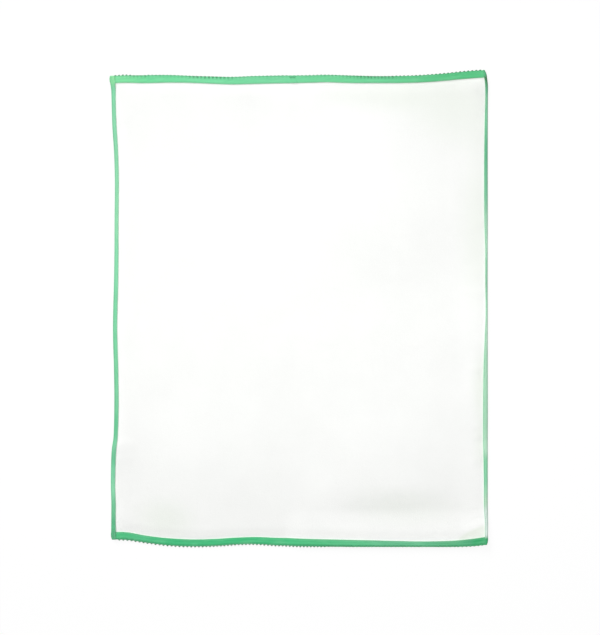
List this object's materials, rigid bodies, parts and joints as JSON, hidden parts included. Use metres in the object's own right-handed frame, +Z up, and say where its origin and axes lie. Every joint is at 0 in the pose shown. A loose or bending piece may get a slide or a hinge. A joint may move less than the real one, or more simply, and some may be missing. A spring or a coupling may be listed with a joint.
{
  "type": "baby bath towel",
  "caption": "Thin rectangular bath towel laid out flat, its edges bound with coloured tape and a picot edging along both short ends.",
  "frame": {"origin": "on the surface that the towel lies on, under the middle of its outline", "axes": "+Z up from the surface, +Y along the towel towards its top edge, +X across it to the right"},
  "size_m": [0.5994, 0.7564, 0.0105],
  "materials": {
    "towel_cloth": "soft matt white towelling with a fine short pile",
    "binding_tape": "mint-green woven tape, matt with a slight sheen",
    "picot_yarn": "twisted mint-green yarn, a little darker than the tape",
    "sewing_thread": "mint-green sewing thread"
  },
  "bodies": {
    "root": {"towel_cloth": "towel_cloth", "binding_tape_top": "binding_tape", "binding_tape_bottom": "binding_tape", "binding_tape_left": "binding_tape", "binding_tape_right": "binding_tape", "picot_edging_top": "picot_yarn", "picot_edging_bottom": "picot_yarn"}
  },
  "joints": []
}
